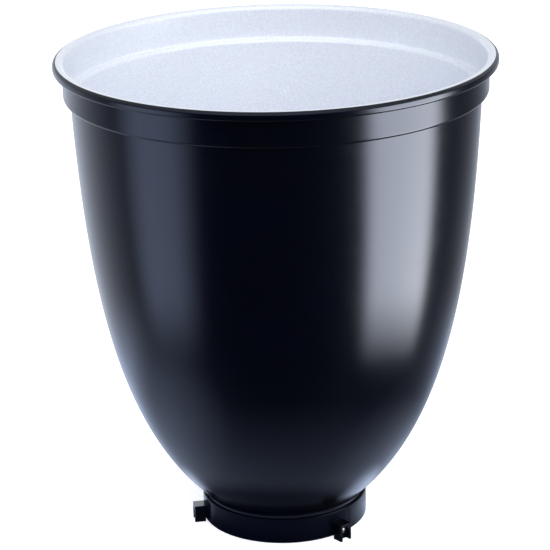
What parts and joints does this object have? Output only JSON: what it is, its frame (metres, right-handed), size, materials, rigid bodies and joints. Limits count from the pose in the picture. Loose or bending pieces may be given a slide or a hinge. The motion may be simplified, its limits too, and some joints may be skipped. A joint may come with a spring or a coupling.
{
  "type": "bell snoot",
  "caption": "Deep bell-shaped metal snoot for a studio flash head, black outside and silver inside, with a rolled rim, a stepped band for a grid and a bayonet collar.",
  "frame": {"origin": "under the middle of the collar, level with the feet of the three lugs that the snoot stands on", "axes": "+Z along the snoot's axis towards the mouth, -Y the front, with the first lug 40 degrees round from the front towards +X"},
  "size_m": [0.252, 0.252, 0.2844],
  "materials": {
    "bell_paint": "spun aluminium, satin black paint outside, fine-grained silver inside",
    "collar_paint": "satin black",
    "lug_paint": "satin black",
    "rivet_steel": "plain zinc",
    "washer_steel": "plain zinc"
  },
  "bodies": {
    "root": {"bell": "bell_paint", "collar": "collar_paint", "lug_right": "lug_paint", "lug_rear": "lug_paint", "lug_left": "lug_paint", "rivet_right": "rivet_steel", "rivet_rear": "rivet_steel", "rivet_left": "rivet_steel", "washer_right": "washer_steel", "washer_rear": "washer_steel", "washer_left": "washer_steel"}
  },
  "joints": []
}
